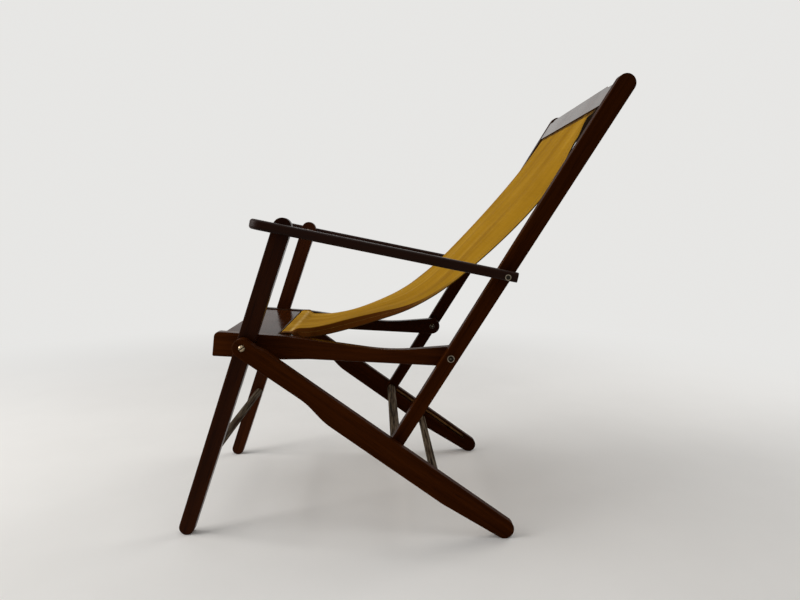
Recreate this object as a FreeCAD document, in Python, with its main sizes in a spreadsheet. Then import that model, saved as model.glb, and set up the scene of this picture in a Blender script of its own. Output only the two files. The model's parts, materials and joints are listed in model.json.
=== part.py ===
import FreeCAD, Part
import math
import os

import Sketcher

# A folding wooden armchair with a canvas sling for seat and back.
# Frame: X across the chair with the sitter's left at +X, the front faces -Y, Z up, floor at Z = 0.
# The side members lie in three layers, from the inside out: seat rails, then front legs and back
# stiles, then rear legs and arms.

DIMENSIONS = {
    # Reach of the space below the floor, and how far a cut runs past the face that it opens
    "floor_reach": 1000,
    "cut_past": 1,
    # Layers across the chair
    "rail_inside": 196,
    "board_thick": 22,
    "layer_gap": 1.6,
    "arris": 2.2,
    # Front pivot of seat rail, front leg and rear leg, and back pivot of seat rail and stile
    "front_pivot_y": -317.9,
    "front_pivot_z": 400,
    "back_pivot_y": 102.5,
    "back_pivot_z": 376,
    # Front leg, measured along its axis from the front pivot
    "leg_lean": 18.08,
    "leg_up": 253,
    "leg_down": 404.6,
    "leg_top_radius": 19,
    "leg_foot_radius": 15.75,
    "leg_to_arm": 245.5,
    "front_rod_down": 225,
    "front_rod_behind": 6.5,
    "front_rod_radius": 9,
    # Back stile, measured along its axis from the back pivot
    "stile_lean": 31.3,
    "stile_up": 650,
    "stile_to_arm": 200.5,
    "stile_to_foot": 213,
    "stile_top_radius": 19,
    "stile_foot_radius": 14,
    # Rear leg, measured along the leg from the front pivot, and square to it upwards
    "rear_drop": 35.4,
    "rear_head_radius": 19.5,
    "rear_neck_along": 21,
    "rear_neck_rise": 25.5,
    "rear_neck_radius": 8,
    "rear_shoulder_along": 37,
    "rear_shoulder_radius": 6,
    "rear_top_rise": 21.1,
    "rear_under": 18,
    "rear_belly": 29.7,
    "rear_sweep_along": 153,
    "rear_belly_along": 237,
    "rear_sweep_radius": 140,
    "rear_taper_along": 512,
    "rear_taper_radius": 160,
    "rear_foot_along": 659,
    "rear_foot_rise": 1.2,
    "rear_foot_radius": 20,
    "rear_rod_along": 499,
    "rear_rod_under": 14,
    "rear_rod_radius": 9.7,
    "groove_travel": 259.1,
    "groove_play": 0.3,
    "groove_deep": 12,
    # Rods and foot bar
    "tenon_radius": 7,
    "tenon_long": 12,
    "tenon_play": 0.1,
    "foot_bar_radius": 11,
    "foot_bar_play": 0.4,
    "foot_pin_radius": 5,
    "foot_pin_sunk": 20,
    # Seat rail, measured from the front pivot towards the back and upwards
    "rail_toe_along": -67.8,
    "rail_toe_rise": -22,
    "rail_toe_radius": 3,
    "rail_under_along": 75,
    "rail_under_rise": 28,
    "rail_under_radius": 60,
    "rail_wave_along": 125,
    "rail_wave_rise": -181,
    "rail_wave_radius": 150,
    "rail_heel_radius": 21,
    "rail_waist_along": 310,
    "rail_waist_rise": 439.5,
    "rail_waist_radius": 450,
    "rail_crown_along": 42,
    "rail_crown_rise": -300,
    "rail_crown_radius": 319,
    "rail_brow_along": -56,
    "rail_brow_rise": 14.6,
    "rail_brow_radius": 11,
    # Board across the front of the seat, and the bar for the canvas behind it
    "front_board_y": -369.5,
    "front_board_z": 422.6,
    "front_board_deep": 111,
    "front_board_thick": 12,
    "front_board_nose": 4.5,
    "front_board_edge": 2,
    "front_board_tilt": 3.3,
    "front_bar_y": -242.6,
    "front_bar_z": 410.4,
    "front_bar_deep": 22,
    "front_bar_tall": 16,
    "front_bar_round": 5,
    "housing_deep": 6,
    "housing_play": 0.1,
    # Crest rail, measured along the stile from the back pivot, and square to it
    "crest_low": 592,
    "crest_tall": 48,
    "crest_raise": 5.5,
    "crest_shoulder": 26,
    "crest_round": 5,
    "crest_corner": 1.5,
    "crest_thick": 18,
    "crest_forward": 18.5,
    "crest_tenon_tall": 34,
    "crest_tenon_thick": 9,
    "crest_groove_behind": 3,
    "crest_groove_wide": 3,
    "crest_groove_deep": 14,
    # Arm, measured from its rear pivot
    "arm_wide": 38,
    "arm_thick": 20,
    "arm_rise": 3,
    "arm_behind": 20,
    "arm_nose": 60,
    "arm_nose_outer": 26,
    "arm_nose_inner": 9,
    "arm_edge": 6,
    # Pivot hardware
    "bolt_radius": 4,
    "bolt_sunk": 1,
    "bolt_play": 0.06,
    "arm_bolt_radius": 3,
    "arm_bolt_tail": 3,
    "washer_thick": 1,
    "washer_radius": 9.5,
    "arm_washer_radius": 6.5,
    "head_play": 0.3,
    "dome_radius": 7,
    "dome_tall": 4,
    "dome_slot": 1.8,
    "dome_slot_turn": 35,
    "sleeve_radius": 6,
    "sleeve_long": 8,
    "rivet_ring_radius": 7.6,
    "rivet_head_radius": 5.6,
    "rivet_head_tall": 1.8,
    "rivet_bore_radius": 2.6,
    "rivet_bore_deep": 5,
    "inner_head_radius": 6.6,
    "inner_head_tall": 3.6,
    "arm_ring_radius": 6,
    "insert_radius": 4.6,
    "insert_long": 20,
    # Tacks that hold the canvas
    "tack_radius": 4,
    "tack_tall": 1.8,
    "tack_shank": 0.9,
    "tack_deep": 14.9,
    "tack_reach": 175,
    # Canvas: half its width at both ends, its hollows, and the corners that its side profile is rounded
    # into, with how far its edges fall back there, how sharply, and how far its left side lies behind
    "sling_half_front": 187,
    "sling_half_top": 211,
    "sling_thick": 2,
    "sling_play": 0.4,
    "sling_ripple": 3,
    "sling_ridge": 0.67,
    "sling_tuck": 9,
    "sling_leave": 6,
    "dip_y": -170,
    "dip_z": 421,
    "dip_fall": 14,
    "dip_curl": 12,
    "dip_skew": -9,
    "thigh_y": -85,
    "thigh_z": 445,
    "thigh_fall": 22,
    "thigh_curl": 12,
    "thigh_skew": -13,
    "hip_y": 55,
    "hip_z": 496,
    "hip_fall": 5,
    "hip_curl": 8,
    "hip_skew": 5,
    "loin_y": 180,
    "loin_z": 628,
    "loin_fall": 24,
    "loin_curl": 4,
    "loin_skew": 8,
    "blade_y": 290,
    "blade_z": 748,
    "blade_fall": 18,
    "blade_curl": 4,
    "blade_skew": 11,
}
TACK_COUNT = 7
SLING_STATIONS = (-1, -0.95, -0.88, -0.67, -0.335, 0, 0.335, 0.67, 0.88, 0.95, 1)
SLING_CORNERS = ("dip", "thigh", "hip", "loin", "blade")
ROUNDING = 0.46
SQUARE_TURN = math.radians(80)
SIDES = {"left": 1, "right": -1}
TOLERANCE = 1e-6

doc = FreeCAD.newDocument("folding_armchair")
sheet = doc.addObject("Spreadsheet::Sheet", "Sizes")
for row, (alias, number) in enumerate(DIMENSIONS.items(), start=1):
    sheet.set("A%d" % row, alias)
    sheet.set("B%d" % row, str(number))
    sheet.setAlias("B%d" % row, alias)
doc.recompute()


class Term:
    """A size as text for the sheet's formulas, with its present value."""

    def __init__(self, text, value):
        self.text = text
        self.value = value

    def joined(self, sign, other, value):
        return Term("(%s %s %s)" % (self.text, sign, other.text), value)

    def __add__(self, other):
        other = term(other)
        return self.joined("+", other, self.value + other.value)

    def __sub__(self, other):
        other = term(other)
        return self.joined("-", other, self.value - other.value)

    def __mul__(self, other):
        other = term(other)
        return self.joined("*", other, self.value * other.value)

    def __truediv__(self, other):
        other = term(other)
        return self.joined("/", other, self.value / other.value)

    def __neg__(self):
        return Term("(0 - %s)" % self.text, -self.value)


def term(number):
    return number if isinstance(number, Term) else Term(repr(float(number)), float(number))


def size(alias):
    return Term("Sizes." + alias, float(sheet.get(alias)))


def sine(angle):
    return Term("sin(%s * 1 deg)" % angle.text, math.sin(math.radians(angle.value)))


def cosine(angle):
    return Term("cos(%s * 1 deg)" % angle.text, math.cos(math.radians(angle.value)))


def root(square):
    return Term("sqrt(%s)" % square.text, math.sqrt(square.value))


def arc_tangent(ratio):
    return Term("(atan(%s) / 1 deg)" % ratio.text, math.degrees(math.atan(ratio.value)))


def arc_sine(ratio):
    return Term("(asin(%s) / 1 deg)" % ratio.text, math.degrees(math.asin(ratio.value)))


def bind(item, name, amount):
    item.setExpression(name, term(amount).text)


def place(item, x, y, z, lean=None, axis=(-1, 0, 0)):
    """Move an item, and lean it back by an angle about the chair's cross axis, or about another."""
    spot = [term(value) for value in (x, y, z)]
    rotation = FreeCAD.Rotation()
    if lean is not None:
        rotation = FreeCAD.Rotation(FreeCAD.Vector(*axis), term(lean).value)
    item.Placement = FreeCAD.Placement(FreeCAD.Vector(*[value.value for value in spot]), rotation)
    for name, value in zip("xyz", spot):
        bind(item, "Placement.Base." + name, value)
    if lean is not None:
        bind(item, "Placement.Rotation.Angle", lean)


# Sketches and bodies

def new_body(label):
    body = doc.addObject("PartDesign::Body", label)
    body.Label = label
    return body


def new_sketch(body, role, name, offset=None):
    """A sketch on one of the body's own planes, moved along the plane's normal."""
    sketch = body.newObject("Sketcher::SketchObject", body.Name + "_" + name)
    plane = [item for item in body.Origin.OriginFeatures if item.Role == role][0]
    sketch.AttachmentSupport = [(plane, "")]
    sketch.MapMode = "FlatFace"
    if offset is not None:
        bind(sketch, "AttachmentOffset.Base.z", offset)
    return sketch


def constrain(sketch, name, amount, *where):
    """Add a constraint whose value follows the sheet."""
    kind = name.split("_")[0]
    index = sketch.addConstraint(Sketcher.Constraint(kind, *where, amount.value))
    sketch.renameConstraint(index, name)
    bind(sketch, "Constraints." + name, amount)


def fix_round(sketch, index, across, up, radius):
    constrain(sketch, "DistanceX_%d" % index, term(across), -1, 1, index, 3)
    constrain(sketch, "DistanceY_%d" % index, term(up), -1, 1, index, 3)
    constrain(sketch, "Radius_%d" % index, term(radius), index)


def hole(sketch, across, up, radius):
    centre = FreeCAD.Vector(term(across).value, term(up).value, 0)
    circle = Part.Circle(centre, FreeCAD.Vector(0, 0, 1), term(radius).value)
    fix_round(sketch, sketch.addGeometry(circle), across, up, radius)


def belt(sketch, rounds):
    """Draw a closed outline, counter-clockwise, of arcs joined by straight lines that touch both.
    A round is (across, up, radius): a positive radius bulges, a negative one hollows, and a radius
    of 0 is a sharp corner."""
    values = [[term(number).value for number in spot] for spot in rounds]
    count = len(values)
    headings = []
    for index, (x1, y1, r1) in enumerate(values):
        x2, y2, r2 = values[(index + 1) % count]
        span = math.hypot(x2 - x1, y2 - y1)
        headings.append(math.atan2(y2 - y1, x2 - x1) - math.asin((r2 - r1) / span))
    lines = []
    for index, heading in enumerate(headings):
        ends = []
        for x, y, radius in (values[index], values[(index + 1) % count]):
            ends.append(FreeCAD.Vector(x + radius * math.sin(heading), y - radius * math.cos(heading), 0))
        lines.append(sketch.addGeometry(Part.LineSegment(*ends)))
    for index, (x, y, radius) in enumerate(values):
        across, up, bend = [term(number) for number in rounds[index]]
        arriving = lines[index - 1]
        leaving = lines[index]
        if radius == 0:
            sketch.addConstraint(Sketcher.Constraint("Coincident", arriving, 2, leaving, 1))
            constrain(sketch, "DistanceX_%d" % leaving, across, -1, 1, leaving, 1)
            constrain(sketch, "DistanceY_%d" % leaving, up, -1, 1, leaving, 1)
            continue
        circle = Part.Circle(FreeCAD.Vector(x, y, 0), FreeCAD.Vector(0, 0, 1), abs(radius))
        turn = -math.pi / 2 if radius > 0 else math.pi / 2
        ends = [headings[index - 1] + turn, headings[index] + turn]
        if radius < 0:
            ends.reverse()
        if ends[1] < ends[0]:
            ends[1] += 2 * math.pi
        arc = sketch.addGeometry(Part.ArcOfCircle(circle, *ends))
        first, last = (1, 2) if radius > 0 else (2, 1)
        fix_round(sketch, arc, across, up, bend if radius > 0 else -bend)
        sketch.addConstraint(Sketcher.Constraint("Tangent", arriving, 2, arc, first))
        sketch.addConstraint(Sketcher.Constraint("Tangent", leaving, 1, arc, last))


def pad(body, sketch, length, symmetric=False):
    feature = body.newObject("PartDesign::Pad", sketch.Name + "_pad")
    feature.Profile = sketch
    feature.SideType = "Symmetric" if symmetric else "One side"
    bind(feature, "Length", length)
    doc.recompute()
    return feature


def pocket(body, sketch, depth, reverse):
    """Cut a sketch into the body, against the sketch's normal or along it."""
    before = body.Shape.Volume
    feature = body.newObject("PartDesign::Pocket", sketch.Name + "_pocket")
    feature.Profile = sketch
    feature.Reversed = reverse
    bind(feature, "Length", depth)
    doc.recompute()
    if body.Shape.Volume > before - TOLERANCE:
        raise RuntimeError(sketch.Name + " cuts nothing")


def soften(body, base, radius, chosen):
    """Round the edges of a feature that the given test picks."""
    edges = ["Edge%d" % number for number, edge in enumerate(base.Shape.Edges, 1) if chosen(edge)]
    feature = body.newObject("PartDesign::Fillet", body.Name + "_arris")
    feature.Base = (base, edges)
    bind(feature, "Radius", radius)
    doc.recompute()


def lies_flat(edge, axis, level):
    return all(abs(vertex.Point[axis] - level) < TOLERANCE for vertex in edge.Vertexes)


def outer_outline(edge):
    """True for the outline edges on the two flat faces of a side member, not for its holes."""
    on_face = lies_flat(edge, 0, 0) or lies_flat(edge, 0, size("board_thick").value)
    return on_face and len(edge.Vertexes) > 1


def side_member(label, side, rounds, holes, inside, y, z, lean=None, pockets=()):
    """A flat wooden member seen from the side, with holes through it and pockets in its inner face.
    A pocket is (depth, list of holes) or (depth, outline of rounds)."""
    thick = size("board_thick")
    body = new_body(label)
    outline = new_sketch(body, "YZ_Plane", "outline")
    belt(outline, rounds)
    for spot in holes:
        hole(outline, *spot)
    soften(body, pad(body, outline, thick), size("arris"), outer_outline)
    for number, (depth, shape) in enumerate(pockets):
        face = new_sketch(body, "YZ_Plane", "pocket_%d" % number, None if side > 0 else thick)
        if len(shape) > 1:
            belt(face, shape)
        else:
            hole(face, *shape[0])
        pocket(body, face, depth, side > 0)
    place(body, inside if side > 0 else -(inside + thick), y, z, lean)
    return body


# Part primitives along the chair's cross axis

def combine(kind, label, items):
    joined = doc.addObject(kind, label)
    joined.Label = label
    if kind == "Part::Cut":
        joined.Base, joined.Tool = items
    elif kind == "Part::Compound":
        joined.Links = items
    else:
        joined.Shapes = items
    return joined


def rod(name, start, end, radius, y, z):
    cylinder = doc.addObject("Part::Cylinder", name)
    bind(cylinder, "Radius", radius)
    bind(cylinder, "Height", term(end) - start)
    place(cylinder, start, y, z, 90, (0, 1, 0))
    return cylinder


def ring(name, start, end, radius, bore, y, z):
    solid = rod(name + "_disc", start, end, radius, y, z)
    past = size("cut_past")
    gap = rod(name + "_bore", term(start) - past, term(end) + past, bore, y, z)
    return combine("Part::Cut", name, [solid, gap])


def dome(name, radius, tall):
    """A shallow round cap, standing on its own XY plane."""
    ball = (radius * radius + tall * tall) / (tall * 2)
    sphere = doc.addObject("Part::Sphere", name)
    bind(sphere, "Radius", ball)
    bind(sphere, "Angle1", arc_sine(term(1) - tall / ball))
    return sphere, ball - tall


def dome_out(name, face, radius, tall, y, z):
    cap, sunk = dome(name, radius, tall)
    place(cap, face - sunk, y, z, 90, (0, 1, 0))
    return cap


def dome_in(name, face, radius, tall, y, z):
    cap, sunk = dome(name, radius, tall)
    place(cap, face + sunk, y, z, 90, (0, -1, 0))
    return cap


def pair(label, left):
    """The same small piece on both sides of the chair, as one group."""
    right = doc.addObject("Part::Mirroring", label + "_mirrored")
    right.Source = left
    right.Normal = FreeCAD.Vector(1, 0, 0)
    return combine("Part::Compound", label, [left, right])


# Layers and pivots

thick = size("board_thick")
rail_in = size("rail_inside")
rail_out = rail_in + thick
middle_in = rail_out + size("layer_gap")
middle_out = middle_in + thick
outer_in = middle_out + size("layer_gap")
outer_out = outer_in + thick

front_y = size("front_pivot_y")
front_z = size("front_pivot_z")
back_y = size("back_pivot_y")
back_z = size("back_pivot_z")


def on_stile(reach, forward=0):
    """A point by its distance up the stile from the back pivot, and in front of its axis."""
    lean = size("stile_lean")
    y = back_y + term(reach) * sine(lean) - term(forward) * cosine(lean)
    z = back_z + term(reach) * cosine(lean) + term(forward) * sine(lean)
    return y, z


def on_front_leg(reach, behind=0):
    lean = size("leg_lean")
    y = front_y + term(reach) * sine(lean) + term(behind) * cosine(lean)
    z = front_z + term(reach) * cosine(lean) - term(behind) * sine(lean)
    return y, z


def on_rear_leg(along, rise):
    drop = size("rear_drop")
    y = front_y + term(along) * cosine(drop) + term(rise) * sine(drop)
    z = front_z - term(along) * sine(drop) + term(rise) * cosine(drop)
    return y, z


arm_y, arm_z = on_stile(size("stile_to_arm"))
foot_y, foot_z = on_stile(-size("stile_to_foot"))
arm_front_y, arm_front_z = on_front_leg(size("leg_to_arm"))
pivot_hole = size("bolt_radius") + size("bolt_play")
arm_hole = size("arm_bolt_radius") + size("bolt_play")
mortise = (size("tenon_long") + size("tenon_play"), size("tenon_radius") + size("tenon_play"))

# The space below the floor, which trims the feet flat
floor_reach = size("floor_reach")
floor = doc.addObject("Part::Box", "below_floor")
bind(floor, "Length", floor_reach * 2)
bind(floor, "Width", floor_reach * 2)
bind(floor, "Height", floor_reach)
place(floor, -floor_reach, -floor_reach, -floor_reach)


def seat_rounds(shape, y, z, tilt):
    """Rounds of a cross member's end, moved into the seat rail's own frame."""
    moved = []
    for across, up, radius in shape:
        along = y - front_y + across * cosine(tilt) + up * sine(tilt)
        rise = z - front_z + up * cosine(tilt) - across * sine(tilt)
        moved.append((along, rise, radius))
    return moved


def board_end(play=0):
    """Side outline of the front board, from its top front edge."""
    deep = size("front_board_deep")
    low = -size("front_board_thick")
    nose = size("front_board_nose")
    edge = size("front_board_edge")
    return [(nose, low + nose, nose + play),
            (deep - edge, low + edge, edge + play),
            (deep - edge, -edge, edge + play),
            (nose, -nose, nose + play)]


def bar_end(play=0):
    """Side outline of the canvas bar, about its middle."""
    corner = size("front_bar_round")
    half_deep = size("front_bar_deep") / 2 - corner
    half_tall = size("front_bar_tall") / 2 - corner
    return [(-half_deep, -half_tall, corner + play),
            (half_deep, -half_tall, corner + play),
            (half_deep, half_tall, corner + play),
            (-half_deep, half_tall, corner + play)]


# Seat frame

def seat_rail(name, side):
    rounds = [
        (size("rail_toe_along"), size("rail_toe_rise"), size("rail_toe_radius")),
        (size("rail_under_along"), size("rail_under_rise"), size("rail_under_radius")),
        (size("rail_wave_along"), size("rail_wave_rise"), -size("rail_wave_radius")),
        (back_y - front_y, back_z - front_z, size("rail_heel_radius")),
        (size("rail_waist_along"), size("rail_waist_rise"), -size("rail_waist_radius")),
        (size("rail_crown_along"), size("rail_crown_rise"), size("rail_crown_radius")),
        (size("rail_brow_along"), size("rail_brow_rise"), size("rail_brow_radius")),
    ]
    holes = [(0, 0, pivot_hole), (back_y - front_y, back_z - front_z, pivot_hole)]
    play = size("housing_play")
    deep = size("housing_deep") + play
    board = seat_rounds(board_end(play), size("front_board_y"), size("front_board_z"),
                        size("front_board_tilt"))
    bar = seat_rounds(bar_end(play), size("front_bar_y"), size("front_bar_z"), term(0))
    sleeve = [(0, 0, size("sleeve_radius") + play)]
    pockets = [(deep, board), (deep, bar), (size("sleeve_long"), sleeve)]
    return side_member("seat_rail_" + name, side, rounds, holes, rail_in, front_y, front_z,
                       pockets=pockets)


def cross_board(label, shape, y, z, tilt=None):
    """A wooden cross member whose ends sit in housings in the seat rails."""
    body = new_body(label)
    outline = new_sketch(body, "YZ_Plane", "outline")
    belt(outline, shape)
    pad(body, outline, (rail_in + size("housing_deep")) * 2, symmetric=True)
    place(body, 0, y, z, tilt)
    return body


def front_pivot():
    """Bolt, sleeve nut and washer that join seat rail and front leg."""
    radius = size("bolt_radius")
    bolt = rod("front_bolt", rail_in + size("bolt_sunk"), middle_out + size("head_play"), radius,
               front_y, front_z)
    sleeve = ring("front_sleeve", rail_in, rail_in + size("sleeve_long"), size("sleeve_radius"),
                  pivot_hole, front_y, front_z)
    washer = ring("front_washer", rail_out, rail_out + size("washer_thick"), size("washer_radius"),
                  pivot_hole, front_y, front_z)
    return [pair("front_pivot_bolts", bolt), pair("front_pivot_nuts", sleeve),
            pair("front_pivot_washers", washer)]


def back_pivot():
    """Tubular rivet, outer ring and spacer that join seat rail and back stile."""
    face = middle_out + size("head_play")
    ring_face = face + size("washer_thick")
    end = ring_face + size("rivet_head_tall")
    shank = rod("rivet_shank", rail_in, ring_face, size("bolt_radius"), back_y, back_z)
    head = rod("rivet_head", ring_face, end, size("rivet_head_radius"), back_y, back_z)
    inner = dome_in("rivet_inner_head", rail_in, size("inner_head_radius"), size("inner_head_tall"),
                    back_y, back_z)
    solid = combine("Part::MultiFuse", "rivet_solid", [shank, head, inner])
    bore = rod("rivet_bore", end - size("rivet_bore_deep"), end + size("cut_past"),
               size("rivet_bore_radius"), back_y, back_z)
    rivet = combine("Part::Cut", "rivet", [solid, bore])
    outer = ring("rivet_ring", face, ring_face, size("rivet_ring_radius"), pivot_hole, back_y, back_z)
    spacer = ring("rivet_spacer", rail_out, rail_out + size("washer_thick"), size("washer_radius"),
                  pivot_hole, back_y, back_z)
    return [pair("back_pivot_rivets", rivet), pair("back_pivot_washers", outer),
            pair("back_pivot_spacers", spacer)]


# Canvas sling

def sling_shift(name, station):
    """How far the canvas lies behind one corner of its profile, at one station across the chair.
    Shallow hollows lie between the ridges, the edges fall back, and one side lies behind the other."""
    reach = abs(station)
    ridge = size("sling_ridge").value
    hollow = 0.0
    if reach < ridge:
        hollow = size("sling_ripple").value * (1 - math.cos(2 * math.pi * reach / ridge)) / 2
    fall = size(name + "_fall").value * reach ** size(name + "_curl").value
    return hollow + fall + size(name + "_skew").value * station


def sling_corners(station):
    """Corners of the canvas's upper side in side view, at one station across the chair."""
    skin = size("sling_thick").value + size("sling_play").value
    front = size("front_bar_y").value - size("front_bar_deep").value / 2 - skin
    back = size("front_bar_y").value + size("front_bar_deep").value / 2
    low = size("front_bar_z").value - size("front_bar_tall").value / 2 - skin
    high = size("front_bar_z").value + size("front_bar_tall").value / 2 + skin
    under = back - size("front_bar_round").value
    wrap = [(under, low), (front, low), (front, high)]
    groove = size("crest_forward") - size("crest_groove_behind") - size("crest_groove_wide") / 2
    upper_side = groove + size("sling_thick") / 2
    mouth = on_stile(size("crest_low") - size("sling_leave"), upper_side)
    tucked = on_stile(size("crest_low") + size("sling_tuck"), upper_side)
    profile = [(size(name + "_y").value, size(name + "_z").value) for name in SLING_CORNERS]
    profile = [(back, high)] + profile + [(mouth[0].value, mouth[1].value)]
    corners = []
    for name, before, spot, after in zip(SLING_CORNERS, profile, profile[1:], profile[2:]):
        along = (after[0] - before[0], after[1] - before[1])
        shift = sling_shift(name, station) / math.hypot(*along)
        corners.append((spot[0] + along[1] * shift, spot[1] - along[0] * shift))
    return wrap + profile[:1] + corners + profile[-1:] + [(tucked[0].value, tucked[1].value)]


def rounded_path(corners, offset):
    """Straight runs joined by the largest arcs that fit, moved sideways to the right. A square turn is
    one round the front bar, and is as tight as the bar's own edge."""
    tight = size("front_bar_round").value + size("sling_thick").value + size("sling_play").value
    edges = []
    here = None
    for index in range(1, len(corners) - 1):
        before, spot, after = corners[index - 1:index + 2]
        arrive = FreeCAD.Vector(spot[0] - before[0], spot[1] - before[1], 0)
        leave = FreeCAD.Vector(after[0] - spot[0], after[1] - spot[1], 0)
        turn = arrive.getAngle(leave) * math.copysign(1, arrive.cross(leave).z)
        half_turn = math.tan(abs(turn) / 2)
        radius = ROUNDING * min(arrive.Length, leave.Length) / half_turn
        if abs(turn) > SQUARE_TURN:
            radius = tight
        reach = radius * half_turn
        arrive.normalize()
        leave.normalize()
        corner = FreeCAD.Vector(spot[0], spot[1], 0)
        left = FreeCAD.Vector(-arrive.y, arrive.x, 0)
        centre = corner - arrive * reach + left * math.copysign(radius, turn)
        radius = radius + math.copysign(offset, turn)
        start_side = FreeCAD.Vector(arrive.y, -arrive.x, 0) * math.copysign(radius, turn)
        end_side = FreeCAD.Vector(leave.y, -leave.x, 0) * math.copysign(radius, turn)
        middle = (start_side + end_side).normalize() * radius
        points = [centre + side for side in (start_side, middle, end_side)]
        if here is None:
            here = FreeCAD.Vector(before[0] + arrive.y * offset, before[1] - arrive.x * offset, 0)
        edges.append((here, points[0]))
        edges.append(tuple(points))
        here = points[2]
    last = FreeCAD.Vector(after[0] + leave.y * offset, after[1] - leave.x * offset, 0)
    edges.append((here, last))
    return edges


def sling_section(station):
    """Closed outline of the canvas at one station. The canvas widens from the front bar to the crest."""
    corners = sling_corners(station)
    narrow = size("sling_half_front").value
    start = corners[1][0]
    spread = (size("sling_half_top").value - narrow) / (corners[-1][0] - start)
    upper = rounded_path(corners, 0)
    lower = rounded_path(corners, size("sling_thick").value)
    runs = upper + [(upper[-1][-1], lower[-1][-1])]
    runs = runs + [run[::-1] for run in reversed(lower)] + [(lower[0][0], upper[0][0])]
    edges = []
    for run in runs:
        points = [FreeCAD.Vector(station * (narrow + spread * (point.x - start)), point.x, point.y)
                  for point in run]
        curve = Part.LineSegment(*points) if len(points) == 2 else Part.Arc(*points)
        edges.append(curve.toShape())
    return Part.Wire(edges)


def canvas_sling():
    """The canvas, pierced where the tacks go through it."""
    sections = [sling_section(station) for station in SLING_STATIONS]
    cloth = doc.addObject("Part::Feature", "sling_cloth")
    cloth.Shape = Part.makeLoft(sections, True, False)
    bore = size("tack_shank") + size("bolt_play")
    pins = [tack_shank("sling_pin_%d" % number, bore, *spot) for number, spot in
            enumerate(tack_spots(*crest_tack_line()) + tack_spots(*bar_tack_line()))]
    return combine("Part::Cut", "canvas_sling", [cloth, combine("Part::Compound", "sling_pins", pins)])


# Back frame

def back_stile(name, side):
    low = -size("stile_to_foot")
    rounds = [(0, low, size("stile_foot_radius")), (0, size("stile_up"), size("stile_top_radius"))]
    holes = [(0, 0, pivot_hole), (0, size("stile_to_arm"), arm_hole),
             (0, low, size("foot_pin_radius") + size("bolt_play"))]
    play = size("housing_play")
    half = size("crest_tenon_thick") / 2 + play
    middle = size("crest_thick") / 2 - size("crest_forward")
    low_end, high_end = crest_tenon()
    tenon = [(middle - half, low_end - play, 0), (middle + half, low_end - play, 0),
             (middle + half, high_end + play, 0), (middle - half, high_end + play, 0)]
    return side_member("back_stile_" + name, side, rounds, holes, middle_in, back_y, back_z,
                       size("stile_lean"), [(size("housing_deep") + play, tenon)])


def crest_tenon():
    """Lower and upper end of the crest rail's tenon, up the stile."""
    low = size("crest_low") + (size("crest_tall") - size("crest_tenon_tall")) / 2
    return low, low + size("crest_tenon_tall")


def crest_rail():
    """Top rail, raised in the middle, with a tenon at each end and a groove for the canvas."""
    body = new_body("crest_rail")
    corner = size("crest_corner")
    sweep = size("crest_round")
    low = size("crest_low")
    high = low + size("crest_tall")
    top = high + size("crest_raise")
    step = middle_in - size("crest_shoulder")
    right = [(middle_in - corner, low + corner, corner), (middle_in - corner, high - corner, corner),
             (step, high + sweep, -sweep), (step - sweep * 2, top - sweep, sweep)]
    left = [(-across, up, radius) for across, up, radius in reversed(right)]
    back = size("crest_thick") - size("crest_forward")
    outline = new_sketch(body, "XZ_Plane", "outline", -back)
    belt(outline, right + left)
    pad(body, outline, size("crest_thick"))
    tenon_back = back - (size("crest_thick") - size("crest_tenon_thick")) / 2
    low_end, high_end = crest_tenon()
    end = middle_in + size("housing_deep") - corner
    tenon = new_sketch(body, "XZ_Plane", "tenon", -tenon_back)
    belt(tenon, [(-end, low_end + corner, corner), (end, low_end + corner, corner),
                 (end, high_end - corner, corner), (-end, high_end - corner, corner)])
    pad(body, tenon, size("crest_tenon_thick"))
    near = size("crest_groove_behind") - size("crest_forward")
    side = size("sling_half_top") + size("sling_play")
    edge = size("sling_play")
    groove = new_sketch(body, "XY_Plane", "groove", low)
    belt(groove, [(-side, near + edge, edge), (side, near + edge, edge),
                  (side, near + size("crest_groove_wide") - edge, edge),
                  (-side, near + size("crest_groove_wide") - edge, edge)])
    pocket(body, groove, size("crest_groove_deep"), True)
    place(body, 0, back_y, back_z, size("stile_lean"))
    return body


def tack_spots(y, z, lean):
    """Where the heads of one row of tacks stand, and the direction that they stand out in."""
    return [(size("tack_reach") * (2 * number / (TACK_COUNT - 1) - 1), y, z, lean)
            for number in range(TACK_COUNT)]


def tack_shank(name, radius, x, y, z, lean):
    deep = size("tack_deep")
    shank = doc.addObject("Part::Cylinder", name)
    bind(shank, "Radius", radius)
    bind(shank, "Height", deep + size("tack_tall") / 2)
    place(shank, x, y - deep * sine(lean), z - deep * cosine(lean), lean)
    return shank


def tack_row(label, line):
    tacks = []
    for number, (x, y, z, lean) in enumerate(tack_spots(*line)):
        cap, sunk = dome("%s_head_%d" % (label, number), size("tack_radius"), size("tack_tall"))
        place(cap, x, y - sunk * sine(lean), z - sunk * cosine(lean), lean)
        shank = tack_shank("%s_shank_%d" % (label, number), size("tack_shank"), x, y, z, lean)
        tacks.append(combine("Part::MultiFuse", "%s_%d" % (label, number), [cap, shank]))
    return combine("Part::Compound", label, tacks)


def crest_tack_line():
    """Behind the crest rail, level with the canvas that is tucked into its groove."""
    behind = size("crest_thick") - size("crest_forward")
    y, z = on_stile(size("crest_low") + size("sling_tuck") / 2, -behind)
    return y, z, size("stile_lean") + 90


def bar_tack_line():
    """Under the canvas that is wrapped round the front bar."""
    under = size("front_bar_tall") / 2 + size("sling_play") * 2 + size("sling_thick")
    return size("front_bar_y"), size("front_bar_z") - under, term(180)


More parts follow.
